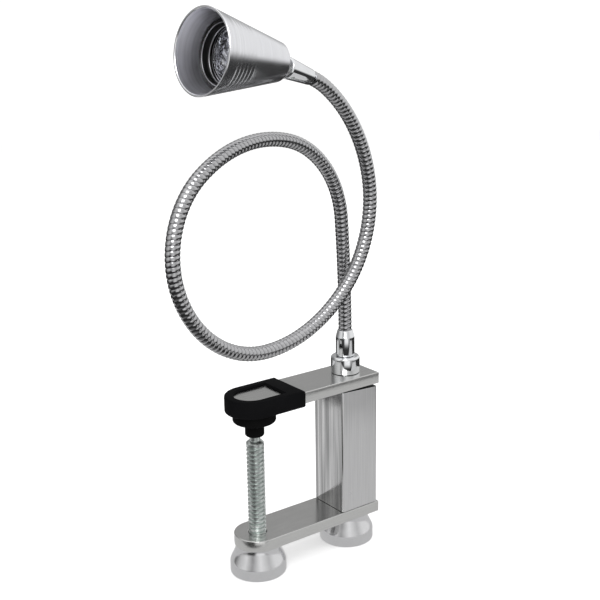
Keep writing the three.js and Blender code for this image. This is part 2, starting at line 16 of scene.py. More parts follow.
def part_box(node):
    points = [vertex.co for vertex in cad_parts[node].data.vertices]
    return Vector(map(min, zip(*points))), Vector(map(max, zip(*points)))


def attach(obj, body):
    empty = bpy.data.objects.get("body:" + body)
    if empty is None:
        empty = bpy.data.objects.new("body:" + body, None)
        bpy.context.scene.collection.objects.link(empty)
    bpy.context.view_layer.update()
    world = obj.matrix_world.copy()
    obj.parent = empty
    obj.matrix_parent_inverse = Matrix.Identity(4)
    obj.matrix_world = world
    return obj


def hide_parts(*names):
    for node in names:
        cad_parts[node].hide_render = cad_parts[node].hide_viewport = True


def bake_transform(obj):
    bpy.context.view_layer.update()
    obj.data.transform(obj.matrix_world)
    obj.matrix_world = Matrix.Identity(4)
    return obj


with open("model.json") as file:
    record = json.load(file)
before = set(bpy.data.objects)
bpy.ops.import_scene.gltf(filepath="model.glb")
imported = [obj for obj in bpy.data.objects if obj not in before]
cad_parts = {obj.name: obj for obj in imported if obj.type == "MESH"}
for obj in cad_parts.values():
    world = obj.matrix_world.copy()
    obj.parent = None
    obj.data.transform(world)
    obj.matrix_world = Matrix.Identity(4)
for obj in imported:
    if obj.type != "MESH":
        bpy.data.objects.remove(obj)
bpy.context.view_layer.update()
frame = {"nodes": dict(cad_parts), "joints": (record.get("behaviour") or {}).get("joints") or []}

MM = 0.001
JOINTS = {joint["name"]: joint for joint in frame["joints"]}
UP = Vector((0, 0, 1))


def box(node):
    """A CAD node's lowest and highest corners, in millimetres."""
    low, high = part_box(node)
    return low / MM, high / MM


# ------------------------------------------------------------------ materials


class Surface:
    """A Principled material whose colour, roughness and bump come from nodes."""

    def __init__(self, name, **sockets):
        self.material = bpy.data.materials.new(name)
        self.material.use_nodes = True
        self.tree = self.material.node_tree
        self.shader = self.tree.nodes["Principled BSDF"]
        for socket, value in sockets.items():
            self.shader.inputs[socket.replace("_", " ")].default_value = value
        self.place = self.add("ShaderNodeTexCoord").outputs["Object"]

    def add(self, kind, inputs=None, **settings):
        node = self.tree.nodes.new(kind)
        for key, value in settings.items():
            setattr(node, key, value)
        for key, value in (inputs or {}).items():
            if isinstance(value, bpy.types.NodeSocket):
                self.tree.links.new(value, node.inputs[key])
            else:
                node.inputs[key].default_value = value
        return node

    def noise(self, scale, stretch=(1, 1, 1), detail=3.0):
        """Noise between 0 and 1; stretch scales the pattern's frequency along each axis."""
        spread = self.add("ShaderNodeMapping", {"Vector": self.place, "Scale": stretch})
        inputs = {"Vector": spread.outputs[0], "Scale": scale, "Detail": detail}
        return self.add("ShaderNodeTexNoise", inputs).outputs["Fac"]

    def spread(self, value, low, high, start=0.25, end=0.75):
        """A value between start and end, mapped to low and high."""
        inputs = {"Value": value, "From Min": start, "From Max": end, "To Min": low, "To Max": high}
        return self.add("ShaderNodeMapRange", inputs).outputs["Result"]

    def colour(self, value, *stops):
        """Colours along a value: each stop is (position, (red, green, blue))."""
        ramp = self.add("ShaderNodeValToRGB", {"Fac": value})
        elements = ramp.color_ramp.elements
        while len(elements) < len(stops):
            elements.new(1.0)
        for element, (position, rgb) in zip(elements, stops):
            element.position = position
            element.color = (*rgb, 1)
        self.tree.links.new(ramp.outputs["Color"], self.shader.inputs["Base Color"])

    def rough(self, value):
        self.tree.links.new(value, self.shader.inputs["Roughness"])

    def bump(self, value, depth, strength=1.0):
        """Raises the surface by depth millimetres where value is 1."""
        below = self.shader.inputs["Normal"].links
        inputs = {"Height": value, "Distance": depth * MM, "Strength": strength}
        if below:
            inputs["Normal"] = below[0].from_socket
        normal = self.add("ShaderNodeBump", inputs).outputs["Normal"]
        self.tree.links.new(normal, self.shader.inputs["Normal"])

    def turned_tangent(self):
        """Runs the anisotropic highlight round the object's own Z axis."""
        tangent = self.add("ShaderNodeTangent", direction_type="RADIAL", axis="Z").outputs[0]
        self.tree.links.new(tangent, self.shader.inputs["Tangent"])


def shades_of(rgb, amount):
    """The same colour a little darker and a little lighter."""
    darker = tuple(max(0.0, c * (1 - amount)) for c in rgb)
    lighter = tuple(min(1.0, c * (1 + amount)) for c in rgb)
    return darker, lighter


def ground_metal(name, rgb, roughness, grain, streaks=0.06, depth=0.01):
    """Metal with fine grinding lines. The pattern changes slowly where grain is low. A large streaks value
    makes the lines strong enough to paint reflection streaks into the colour as well.
    """
    surface = Surface(name, Metallic=1.0)
    lines = surface.noise(1.0, grain, detail=4.0)
    patches = surface.noise(70.0, detail=2.0)
    darker, lighter = shades_of(rgb, streaks)
    surface.colour(lines, (0.3, darker), (0.7, lighter))
    surface.rough(surface.spread(patches, roughness - 0.04, roughness + 0.05))
    surface.bump(lines, depth)
    return surface.material


def turned_metal(name, rgb, roughness, anisotropy, ring_depth, streaks=0.05):
    """Metal finished on a lathe, with fine rings round the object's own Z axis."""
    surface = Surface(name, Metallic=1.0, Anisotropic=anisotropy)
    fine = surface.noise(1.0, (0, 0, 4200), detail=2.0)
    broad = surface.noise(1.0, (0, 0, 620), detail=3.0)
    haze = surface.noise(90.0)
    darker, lighter = shades_of(rgb, streaks)
    surface.colour(broad, (0.3, darker), (0.7, lighter))
    surface.rough(surface.spread(haze, roughness - 0.03, roughness + 0.04))
    surface.bump(fine, ring_depth)
    surface.bump(broad, ring_depth)
    surface.turned_tangent()
    return surface.material


def chrome_plate(name, rgb=(0.86, 0.87, 0.885), roughness=0.07):
    """Bright plating: faint haze and a barely rippled surface."""
    surface = Surface(name, Metallic=1.0)
    haze = surface.noise(160.0, detail=5.0)
    ripple = surface.noise(220.0, detail=1.0)
    darker, lighter = shades_of(rgb, 0.025)
    surface.colour(haze, (0.35, darker), (0.65, lighter))
    surface.rough(surface.spread(haze, roughness - 0.03, roughness + 0.05))
    surface.bump(ripple, 0.004)
    return surface.material


def zinc_plate():
    """Zinc plating with a faint green cast, duller in its patches."""
    surface = Surface("zinc_plate", Metallic=1.0)
    patches = surface.noise(240.0, detail=5.0)
    surface.colour(patches, (0.3, (0.56, 0.6, 0.58)), (0.5, (0.7, 0.745, 0.725)), (0.7, (0.8, 0.83, 0.82)))
    surface.rough(surface.spread(patches, 0.38, 0.24))
    surface.bump(patches, 0.015)
    return surface.material


def moulded(name, rgb, roughness, grain=900.0, depth=0.02, **sockets):
    """Moulded plastic or rubber with a fine grain and slightly uneven gloss."""
    surface = Surface(name, **sockets)
    pores = surface.noise(grain, detail=2.0)
    flow = surface.noise(60.0, detail=4.0)
    darker, lighter = shades_of(rgb, 0.18)
    surface.colour(flow, (0.3, darker), (0.7, lighter))
    surface.rough(surface.spread(flow, roughness - 0.06, roughness + 0.08))
    surface.bump(pores, depth)
    return surface.material


def clear_glass():
    surface = Surface("clear_glass", Transmission_Weight=1.0, IOR=1.46)
    haze = surface.noise(140.0, detail=4.0)
    surface.colour(haze, (0.3, (0.95, 0.97, 0.97)), (0.7, (1.0, 1.0, 1.0)))
    surface.rough(surface.spread(haze, 0.0, 0.03))
    return surface.material


def mirror_coat():
    surface = Surface("mirror_coat", Metallic=1.0)
    haze = surface.noise(300.0, detail=4.0)
    surface.colour(haze, (0.3, (0.3, 0.3, 0.33)), (0.7, (0.62, 0.62, 0.65)))
    surface.rough(surface.spread(haze, 0.04, 0.12))
    return surface.material


def pale_studio(name, emission=0.0, tone=0.9):
    """The plain floor, the wall behind it and the card under the lamp."""
    surface = Surface(name, Emission_Color=(1, 1, 1, 1), Emission_Strength=emission)
    mottle = surface.noise(1.3, detail=2.0)
    surface.colour(mottle, (0.3, (tone * 0.96,) * 3), (0.7, (tone,) * 3))
    surface.rough(surface.spread(mottle, 0.75, 0.85))
    return surface.material


BAR_STEEL = ground_metal("satin_bar", (0.68, 0.68, 0.67), 0.2, (40, 1500, 1500), 0.05, 0.004)
SPINE_STEEL = ground_metal("satin_spine", (0.72, 0.72, 0.725), 0.3, (1300, 1300, 26))
# grinding lines made strong with streaks 0.5, so that they also paint reflection streaks into the throat
# face's colour
POLISHED_STEEL_PAINTED_STREAKS = ground_metal("polished_spine_painted_streaks", (0.72, 0.72, 0.73), 0.13, (420, 420, 9), 0.5, 0.05)
# painted shade: a near-black surface for the spine's top face, standing for the shadow in the gap under the
# upper bar
PAINTED_SHADE_STEEL = ground_metal("spine_top_painted_shade", (0.035, 0.035, 0.035), 0.6, (600, 600, 600))
CHROME = chrome_plate("chrome")
KNOB_CHROME = chrome_plate("knob_chrome", (0.74, 0.74, 0.75), 0.13)
HOSE_CHROME = chrome_plate("hose_chrome", (0.52, 0.52, 0.53), 0.14)
ZINC = zinc_plate()
SHADE_OUTSIDE = turned_metal("turned_aluminium", (0.86, 0.865, 0.89), 0.2, 0.55, 0.006)
SHADE_INSIDE = turned_metal("shade_inside", (0.86, 0.86, 0.9), 0.36, 0.6, 0.01, 0.1)
RING_EDGE = turned_metal("ring_edge", (0.4, 0.4, 0.42), 0.3, 0.3, 0.01)
NUT_ALUMINIUM = turned_metal("nut_aluminium", (0.8, 0.81, 0.83), 0.3, 0.3, 0.01)
BLACK_SLEEVE = moulded("black_sleeve", (0.005, 0.005, 0.0055), 0.5, Specular_IOR_Level=0.012)
BLACK_PAD = moulded("black_pad", (0.004, 0.004, 0.004), 0.5, 1400.0, 0.03, Specular_IOR_Level=0.012)
BLACK_RING = moulded("black_ring", (0.006, 0.006, 0.006), 0.3, Specular_IOR_Level=0.25)
INSULATION = moulded("lead_insulation", (0.02, 0.02, 0.02), 0.55)
NYLON = moulded("white_nylon", (0.82, 0.81, 0.77), 0.42)
CERAMIC = moulded("ceramic", (0.8, 0.77, 0.7), 0.6, 500.0, 0.05)
TUNGSTEN = ground_metal("tungsten", (0.35, 0.35, 0.37), 0.4, (3000, 3000, 3000))
MIRROR = mirror_coat()
GLASS = clear_glass()


# --------------------------------------------------------------- mesh helpers


def make_piece(name, vertices, faces, materials, sharp_angle=32):
    """A linked object from millimetre vertices, smooth apart from its sharp edges."""
    mesh = bpy.data.meshes.new(name)
    mesh.from_pydata([tuple(Vector(v) * MM) for v in vertices], [], faces)
    piece = bpy.data.objects.new(name, mesh)
    bpy.context.scene.collection.objects.link(piece)
    for material in materials:
        mesh.materials.append(material)
    shade(piece, sharp_angle)
    return piece


def shade(piece, sharp_angle=32):
    piece.data.shade_smooth()
    piece.data.set_sharp_from_angle(angle=math.radians(sharp_angle))


def settle(piece, body, slot, *nodes):
    """The finished piece rides on its body and stands for its CAD nodes."""
    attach(piece, body)
    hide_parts(*nodes)


def arc(centre_r, centre_z, radius, start, end, steps=8):
    """Points of an arc in a profile, angles in degrees from the outward direction."""
    angles = [math.radians(start + (end - start) * i / steps) for i in range(steps + 1)]
    return [(centre_r + radius * math.cos(a), centre_z + radius * math.sin(a)) for a in angles]


def turned_mesh(profile, segments=96, closed=True):
    """Vertices, faces and each face's band of (radius, height) points turned about Z.
    Points on the axis become one vertex. A closed profile joins its ends."""
    vertices = []
    rings = []
    for radius, height in profile:
        if radius < 1e-6:
            rings.append([len(vertices)] * segments)
            vertices.append((0, 0, height))
            continue
        rings.append([len(vertices) + k for k in range(segments)])
        for k in range(segments):
            angle = 2 * math.pi * k / segments
            vertices.append((radius * math.cos(angle), radius * math.sin(angle), height))
    faces = []
    bands = []
    count = len(rings) if closed else len(rings) - 1
    for i in range(count):
        low, high = rings[i], rings[(i + 1) % len(rings)]
        for k in range(segments):
            n = (k + 1) % segments
            corners = list(dict.fromkeys((low[k], low[n], high[n], high[k])))
            if len(corners) > 2:
                faces.append(corners)
                bands.append(i)
    return vertices, faces, bands


def with_turned(vertices, faces, profile, segments):
    """The mesh with an open profile, turned about Z, added to it."""
    more, more_faces, _ = turned_mesh(profile, segments, closed=False)
    offset = len(vertices)
    added = [tuple(offset + corner for corner in face) for face in more_faces]
    return vertices + more, faces + added


def turned(name, profile, material, segments=96, sharp_angle=32):
    """A piece turned about Z. A profile that starts and ends on the axis is solid."""
    on_axis = profile[0][0] < 1e-6 and profile[-1][0] < 1e-6
    vertices, faces, _ = turned_mesh(profile, segments, closed=not on_axis)
    return make_piece(name, vertices, faces, [material], sharp_angle)


def plate(name, outline, low, high, edge, material, holes=()):
    """A flat piece between two heights with rounded edges, drawn as a filled curve."""
    curve = bpy.data.curves.new(name, "CURVE")
    curve.dimensions = "2D"
    curve.fill_mode = "BOTH"
    curve.extrude = ((high - low) / 2 - edge) * MM
    curve.bevel_depth = edge * MM
    curve.bevel_resolution = 2
    curve.offset = -edge * MM
    for points in (outline, *holes):
        spline = curve.splines.new("POLY")
        spline.points.add(len(points) - 1)
        spline.use_cyclic_u = True
        for point, (x, y) in zip(spline.points, points):
            point.co = (x * MM, y * MM, 0, 1)
    holder = bpy.data.objects.new(name + "_curve", curve)
    bpy.context.scene.collection.objects.link(holder)
    mesh = evaluated_mesh(holder)
    bpy.data.objects.remove(holder)
    mesh.transform(Matrix.Translation((0, 0, (low + high) / 2 * MM)))
    mesh.name = name
    mesh.materials.clear()
    mesh.materials.append(material)
    piece = bpy.data.objects.new(name, mesh)
    bpy.context.scene.collection.objects.link(piece)
    shade(piece)
    return piece


def evaluated_mesh(holder):
    bpy.context.view_layer.update()
    graph = bpy.context.evaluated_depsgraph_get()
    return bpy.data.meshes.new_from_object(holder.evaluated_get(graph))


def loft(name, low_outline, high_outline, low, high):
    """A closed body between two outlines with the same number of points."""
    count = len(low_outline)
    vertices = [(x, y, low) for x, y in low_outline] + [(x, y, high) for x, y in high_outline]
    faces = [(i, (i + 1) % count, count + (i + 1) % count, count + i) for i in range(count)]
    faces += [tuple(reversed(range(count))), tuple(range(count, 2 * count))]
    return make_piece(name, vertices, faces, [])


def carve(piece, *tools):
    """Cuts the tools out of the piece and removes them."""
    for tool in tools:
        cutting = piece.modifiers.new("cut", "BOOLEAN")
        cutting.operation = "DIFFERENCE"
        cutting.solver = "EXACT"
        cutting.object = tool
    mesh = evaluated_mesh(piece)
    piece.modifiers.clear()
    piece.data = mesh
    for tool in tools:
        bpy.data.objects.remove(tool)
    shade(piece)


def circle(radius, x=0.0, steps=64):
    angles = [2 * math.pi * i / steps for i in range(steps)]
    return [(x + radius * math.cos(a), radius * math.sin(a)) for a in angles]


def tongue(back_x, round_x, half_width, steps=40):
    """The outline of the bars, the sleeve and its window: square behind, round at the jaw."""
    points = [(back_x, -half_width), (back_x, half_width)]
    for i in range(steps + 1):
        angle = math.pi / 2 + math.pi * i / steps
        points.append((round_x + half_width * math.cos(angle), half_width * math.sin(angle)))
    return points


def rounded_box(half_x, half_y, corner, steps=8):
    points = []
    for quarter in range(4):
        middle = math.pi / 4 + quarter * math.pi / 2
        x = math.copysign(half_x - corner, math.cos(middle))
        y = math.copysign(half_y - corner, math.sin(middle))
        for i in range(steps + 1):
            angle = quarter * math.pi / 2 + math.pi / 2 * i / steps
            points.append((x + corner * math.cos(angle), y + corner * math.sin(angle)))
    return points


def helix_mesh(place, phases, start_turn, end_turn, sides):
    """A surface whose rows follow a helix, so that its ridges stay crisp.

    place(turn, angle, phase) gives a point. phases are the rows within one turn, from 0
    up to 1. The two ends are closed onto the middle of their first and last turns."""
    rows = len(phases)
    total = (end_turn - start_turn) * rows
    vertices = []
    for k in range(total + rows + 1):
        turn, phase = divmod(k, rows)
        for j in range(sides):
            along = start_turn + turn + phases[phase] + j / sides
            vertices.append(place(along, 2 * math.pi * j / sides, phases[phase]))
    faces = []
    for k in range(total):
        for j in range(sides):
            here, after = k * sides + j, (k + 1) * sides + j
            if j < sides - 1:
                faces.append((here, here + 1, after + 1, after))
            else:
                faces.append((here, (k + rows) * sides, (k + rows + 1) * sides, after))
    first = list(range(sides)) + [row * sides for row in range(rows, 0, -1)]
    last = [total * sides + j for j in range(sides)]
    last += [(total + row) * sides for row in range(rows, 0, -1)]
    faces.append(tuple(reversed(first)))
    faces.append(tuple(last))
    return vertices, faces


# ---------------------------------------------------------------------- clamp

SCREW_X = JOINTS["screw_turn"]["pos_m"][0] / MM
SPINE = {"corner": 1.5, "edge": 0.25, "relief": 1.6, "rod_play": 0.7}
FACING = 0.7  # a face's normal has at least this share along the side it belongs to
INLET_BORE = {"radius": 4.2, "depth": 8.8, "cut_to": 30}
SPINDLE = {"crest": 6.0, "root": 4.75, "pitch": 3.0, "hole": 6.3, "neck": 3.65, "ball": 4.5}
KNOB = {"neck": 15.0, "band": 7.8, "corner": 1.1, "bore": 5.3, "floor": 3.2, "sweep": 1.3}
SLEEVE = {"half_width": 17.8, "mouth_x": -48.0, "round_x": -79.2, "corner": 1.3}
WINDOW = {"half_width": 11.5, "right_x": -60.5, "round_x": -79.2, "flare": 1.0}
TIE_ROD_RADIUS = 5.0
PLAY = 0.3  # between pieces that touch on the real lamp


def bars():
    for node, holes in (("upper_bar", ()), ("lower_bar", (circle(SPINDLE["hole"], SCREW_X),))):
        low, high = box(node)
        outline = tongue(high.x, SCREW_X, high.y)
        rod_hole = circle(TIE_ROD_RADIUS + 0.4)
        bar = plate(node + "_ground", outline, low.z, high.z, 0.45, BAR_STEEL, (rod_hole, *holes))
        settle(bar, "clamp", "satin_steel", node)


def inlet_matrix():
    """Turns a piece drawn along +Z to point backwards, at the power inlet's height."""
    low, high = box("power_inlet")
    height = (low.z + high.z) / 2
    return Matrix.Translation((0, 0, height * MM)) @ Matrix.Rotation(math.pi / 2, 4, "Y")


def spine():
    """The block between the bars: its throat side is polished, with painted reflection streaks among its
    grinding lines, and its top end slopes back. Its sloped top face is painted near black as shade in the gap
    under the upper bar.
    """
    low, high = box("spine")
    outline = rounded_box(high.x, high.y, SPINE["corner"])
    rod_hole = circle(TIE_ROD_RADIUS + SPINE["rod_play"])
    block = plate("spine_block", outline, low.z, high.z, SPINE["edge"], SPINE_STEEL, (rod_hole,))
    for vertex in block.data.vertices:
        if vertex.co.z / MM > (low.z + high.z) / 2:
            back = (vertex.co.x / MM - low.x) / (high.x - low.x)
            vertex.co.z -= SPINE["relief"] * back * MM
    start, end = high.x - INLET_BORE["depth"], INLET_BORE["cut_to"]
    radius = INLET_BORE["radius"]
    bore = turned("inlet_bore", [(0, start), (radius, start), (radius, end), (0, end)], SPINE_STEEL, 48)
    bore.data.transform(inlet_matrix())
    carve(block, bore)
    block.data.materials.append(POLISHED_STEEL_PAINTED_STREAKS)
    block.data.materials.append(PAINTED_SHADE_STEEL)
    for face in block.data.polygons:
        # the polished throat face: grinding lines and painted reflection streaks in its colour
        if face.normal.x < -FACING:
            face.material_index = 1
        # painted shade: the sloped top face, in the gap under the upper bar, is painted near black
        if face.normal.z > FACING:
            face.material_index = 2
    settle(block, "clamp", "satin_steel", "spine")


def power_inlet():
    low, high = box("power_inlet")
    back = box("spine")[1].x
    profile = [
        (0, low.x),
        (3.9, low.x),
        (3.9, back + PLAY),
        (5.5, back + PLAY),
        *arc(5.1, high.x - 0.4, 0.4, 0, 90, 4),
        *arc(3.15, high.x - 0.4, 0.4, 90, 180, 4),
        (2.75, low.x + 1.5),
        (1.0, low.x + 1.5),
        *arc(0.6, back - 0.4, 0.4, 0, 90, 3),
        (0, back),
    ]
    inlet = turned("inlet_socket", profile, BLACK_RING, 48)
    inlet.matrix_world = inlet_matrix()
    settle(inlet, "clamp", "black_plastic", "power_inlet")


def collar():
    low, high = box("collar")
    radius = high.x
    top = high.z
    profile = [
        (TIE_ROD_RADIUS + PLAY, low.z),
        (radius - 0.4, low.z),
        *arc(radius - 0.3, low.z + 0.3, 0.3, -90, 0, 3),
        *arc(radius - 1.6, top - 1.6, 1.6, 0, 90, 10),
        (4.8, top),
        (4.8, top - 3.4),
        (6.8, top - 3.4),
        (6.8, top - 5.7),
        (TIE_ROD_RADIUS + PLAY, top - 5.7),
    ]
    settle(turned("stem_collar", profile, CHROME), "clamp", "chrome", "collar")


def knob(name, node, body, x):
    """A mushroom knob: a straight band, then a neck that sweeps in under the bar."""
    low, high = box(node)
    radius = (high.x - low.x) / 2
    steps = 28
    sweep = []
    for i in range(steps + 1):
        t = i / steps
        fall = math.sin(math.pi / 2 * t) ** KNOB["sweep"]
        height = KNOB["band"] + (high.z - KNOB["band"]) * t
        sweep.append((radius - (radius - KNOB["neck"]) * fall, height))
    profile = [
        (0, 0),
        (radius - 2.4, 0),
        *arc(radius - KNOB["corner"], KNOB["corner"], KNOB["corner"], -90, 0, 8),
        *sweep,
        (KNOB["bore"], high.z),
        (KNOB["bore"], KNOB["floor"]),
        (0, KNOB["floor"]),
    ]
    piece = turned(name, profile, KNOB_CHROME, 128, 24)
    piece.matrix_world = Matrix.Translation((x * MM, 0, 0))
    settle(piece, body, "chrome", node)


def spindle():
    """The clamp screw: a trapezoidal thread, a turned neck and the ball inside the pad."""
    low, high = box("clamp_spindle")
    knob_top = box("clamp_knob")[1].z
    hub_low = box("pad_hub")[0].z
    pitch = SPINDLE["pitch"]
    neck_z = hub_low - 3.9
    shape = {0.0: 1, 0.36: 1, 0.5: 0, 0.86: 0}
    phases = sorted(shape)

    def place(turn, angle, phase):
        depth = SPINDLE["crest"] - SPINDLE["root"]
        radius = SPINDLE["root"] + depth * shape[phase]
        height = knob_top - 3 + turn * pitch
        return (radius * math.cos(angle), radius * math.sin(angle), height)

    turns = int((neck_z - knob_top) / pitch)
    vertices, faces = helix_mesh(place, phases, 0, turns, 40)
    ball = SPINDLE["ball"]
    ball_z = high.z - ball
    core = [
        (0, low.z),
        (5.0, low.z),
        (5.0, knob_top),
        (SPINDLE["root"] + 0.05, knob_top),
        (SPINDLE["root"] + 0.05, neck_z - 4.2),
        (SPINDLE["crest"], neck_z - 3.0),
        (SPINDLE["crest"], neck_z - 1.2),
        (SPINDLE["crest"] - 1.2, neck_z),
        (SPINDLE["neck"], neck_z + 0.4),
        *arc(0, ball_z, ball, -36, 90, 12),
    ]
    vertices, faces = with_turned(vertices, faces, core, 64)
    screw = make_piece("spindle_thread", vertices, faces, [ZINC], 30)
    screw.matrix_world = Matrix.Translation((SCREW_X * MM, 0, 0))
    settle(screw, "clamp_screw", "zinc_steel", "clamp_spindle")


def pad():
    low, high = box("pad_disc")
    radius = (high.x - low.x) / 2
    disc = [
        (0, low.z),
        (radius - 2.2, low.z),
        *arc(radius - 1.8, low.z + 1.8, 1.8, -90, 0, 8),
        *arc(radius - 0.5, high.z - 0.5, 0.5, 0, 90, 4),
        (0, high.z),
    ]
    hub_low = box("pad_hub")[0].z
    hub_high = box("pad_hub")[1].z
    ball_z = low.z - 5.1
    hub = [
        (SPINDLE["neck"] + PLAY, hub_low),
        (4.1, hub_low),
        *arc(5.05, hub_low + 1.4, 1.4, -70, -5, 5),
        (6.45, hub_low + 3.2),
        (6.45, hub_high),
        (4.8, hub_high),
        (4.8, ball_z - 2.5),
        (SPINDLE["neck"] + PLAY, ball_z - 3.6),
    ]
    for name, profile, node in (("pad_face", disc, "pad_disc"), ("pad_socket", hub, "pad_hub")):
        piece = turned(name, profile, BLACK_PAD)
        piece.matrix_world = Matrix.Translation((SCREW_X * MM, 0, 0))
        settle(piece, "jaw_pad", "black_plastic", node)


def sleeve():
    """The moulded cap on the jaw end, with a flared window over the bar's top."""
    low, high = box("jaw_sleeve")
    bar_low, bar_high = box("upper_bar")
    outline = tongue(SLEEVE["mouth_x"], SLEEVE["round_x"], SLEEVE["half_width"])
    cap = plate("jaw_cap", outline, low.z, high.z, SLEEVE["corner"], BLACK_SLEEVE)
    pocket_outline = tongue(0, SCREW_X, bar_high.y + PLAY)
    pocket = loft("pocket", pocket_outline, pocket_outline, bar_low.z - PLAY, bar_high.z + PLAY)
    inner = tongue(WINDOW["right_x"], WINDOW["round_x"], WINDOW["half_width"])
    flare = WINDOW["flare"]
    outer = tongue(WINDOW["right_x"] + flare, WINDOW["round_x"], WINDOW["half_width"] + flare)
    window = loft("window", inner, inner, bar_high.z - 2, high.z + 2)
    slope = loft("slope", inner, outer, high.z - flare, high.z + 0.02)
    carve(cap, pocket, window, slope)
    settle(cap, "clamp", "black_plastic", "jaw_sleeve")


# ---------------------------------------------------------- gooseneck and stem

# The route repeats the CAD source's arcs: each has a length in millimetres and the
# degrees it turns through, starting upwards from the top of the stem.
LINK = 78.5
TURNS = (4.5, 71.5, 48, 75.5, 69.5, 45.5, 58)
ARCS = [(LINK, turn) for turn in TURNS] + [(70, 41.5), (16.3, 17)]
HOSE_LENGTH = sum(length for length, _ in ARCS)
HOSE_START_Z = 156.5
SIDESTEP = {"start": 120.0, "end": 420.0, "offset": 18.0}
NORMAL = Vector(JOINTS["head_tilt"]["axis"])
ALONG = UP.cross(NORMAL)
HOSE = {"radius": 4.58, "crown": 0.27, "groove": 0.6, "pitch": 3.0, "sides": 24}
BLEND_REACH = 26.0  # millimetres to each side of a hinge, along the hose


def hose_point(s):
    """The gooseneck's centreline, s millimetres from the top of the stem."""
    if s < 0:
        return Vector((0, 0, HOSE_START_Z + s))
    across, height, heading, left = 0.0, HOSE_START_Z, math.pi / 2, s
    for length, turn in ARCS:
        run = min(left, length)
        radius = length / math.radians(turn)
        after = heading + run / radius
        across += radius * (math.sin(after) - math.sin(heading))
        height -= radius * (math.cos(after) - math.cos(heading))
        heading = after
        left -= run
        if left <= 0:
            break
    across += left * math.cos(heading)
    height += left * math.sin(heading)
    t = min(1.0, max(0.0, (s - SIDESTEP["start"]) / (SIDESTEP["end"] - SIDESTEP["start"])))
    aside = SIDESTEP["offset"] * t * t * (3 - 2 * t)
    return ALONG * across + NORMAL * aside + UP * height


def hose_heading(s):
    return (hose_point(s + 0.5) - hose_point(s - 0.5)).normalized()


def hose_stretch(name, start, end):
    """The spiral-wound hose between two whole turns: a crowned strip and a narrow groove."""
    pitch = HOSE["pitch"]
    phases = (0.0, 0.06, 0.12, 0.25, 0.42, 0.58, 0.75, 0.88, 0.94)
    cache = {}

    def place(turn, angle, phase):
        if turn not in cache:
            s = turn * pitch
            heading = hose_heading(s)
            side = NORMAL.cross(heading).normalized()
            cache[turn] = (hose_point(s), side, heading.cross(side))
        centre, side, up = cache[turn]
        crown = HOSE["crown"] * (2 * phase - 1) ** 2
        radius = HOSE["radius"] - (HOSE["groove"] if phase == 0 else crown)
        return centre + side * (radius * math.cos(angle)) + up * (radius * math.sin(angle))

    vertices, faces = helix_mesh(place, phases, start, end, HOSE["sides"])
    return make_piece(name, vertices, faces, [HOSE_CHROME], 40)


def hose():
    """Stretches from mid-link to mid-link, each over the one hinge it crosses."""
    pitch = HOSE["pitch"]
    middles = [round((i + 0.5) * LINK / pitch) for i in range(len(TURNS) + 1)]
    first = hose_stretch("hose_rise", -2, middles[0])
    settle(first, "stem", "chrome", "hose_1")
    for i in range(1, len(middles)):
        stretch = hose_stretch(f"hose_bend_{i}", middles[i - 1], middles[i])
        hinge = hose_point(i * LINK)
        reach = hose_heading(i * LINK) * BLEND_REACH
        start, end = (hinge - reach) * MM, (hinge + reach) * MM
        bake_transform(stretch)
        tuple(start)
        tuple(end)
        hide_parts(f"hose_{i + 1}")
    last = hose_stretch("hose_tip", middles[-1], int(HOSE_LENGTH / pitch))
    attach(last, "arm_8")


def stem():
    low, high = box("stem_ferrule")
    collar_top = box("collar")[1].z
    profile = [
        (2.1, low.z),
        (4.5, low.z),
        (4.5, collar_top + PLAY),
        (6.1, collar_top + PLAY),
        *arc(6.2, collar_top + PLAY + 0.3, 0.3, -90, 0, 3),
        (6.5, collar_top + 13.4),
        *arc(5.9, collar_top + 13.6, 0.6, 10, 40, 4),
        *arc(4.6, high.z - 0.9, 0.9, 35, 90, 5),
        (HOSE["radius"] + PLAY / 2, high.z - 0.4),
        (HOSE["radius"] + PLAY / 2, high.z - 10.5),
        (2.1, high.z - 10.5),
    ]
    settle(turned("stem_sleeve", profile, CHROME), "stem", "chrome", "stem_ferrule")


# ------------------------------------------------------------------------ head

BALL_CENTRE = Vector(JOINTS["head_turn"]["pos_m"])
SHADE_AIM = Vector(JOINTS["head_turn"]["axis"])
SHADE = {"mouth": 25.0, "rim": 1.2, "back": 11.9, "corner": 1.3, "front_z": 52.0, "back_z": -5.3}
GROOVES = {"count": 6, "first": 8.0, "pitch": 3.25, "depth": 0.09, "half_width": 0.6}
SHADE_WALL = 1.9
SEAT = {"bore": 8.3, "back": -3.3, "floor": 5.5, "hole": 6.2}
LAMP = {"rim": 17.4, "rim_z": 31.0, "glass": 15.6, "neck": 6.6, "neck_z": 10.0, "rim_depth": 2.2}
BALL = {"radius": 5.5, "neck": 2.6, "shank": 2.9, "bore": 2.0, "shank_from": 13.4, "reach": 33.2}
FERRULE = {"narrow": 4.9, "wide": 6.6, "length": 20.5, "corner": 1.4, "bore": 3.2}


def aimed(origin, direction):
    """The matrix of a piece whose own +Z points along direction, in metres."""
    side = NORMAL.cross(direction).normalized()
    matrix = Matrix((side, direction.cross(side), direction)).transposed().to_4x4()
    matrix.translation = origin
    return matrix


HOSE_END = aimed(hose_point(HOSE_LENGTH) * MM, hose_heading(HOSE_LENGTH + 1))
HEAD = aimed(BALL_CENTRE, SHADE_AIM)


def place_head(piece, slot, *nodes):
    piece.matrix_world = HEAD
    settle(piece, "head", slot, *nodes)


def shade_radius(z):
    cone_start = SHADE["back_z"] + SHADE["corner"]
    t = (z - cone_start) / (SHADE["front_z"] - cone_start)
    return SHADE["back"] + (SHADE["mouth"] - SHADE["back"]) * t


def groove_points(z):
    """A rounded groove across the cone at height z."""
    points = []
    for i in range(7):
        t = i / 3 - 1
        height = z + GROOVES["half_width"] * t
        points.append((shade_radius(height) - GROOVES["depth"] * (1 - t * t), height))
    return points


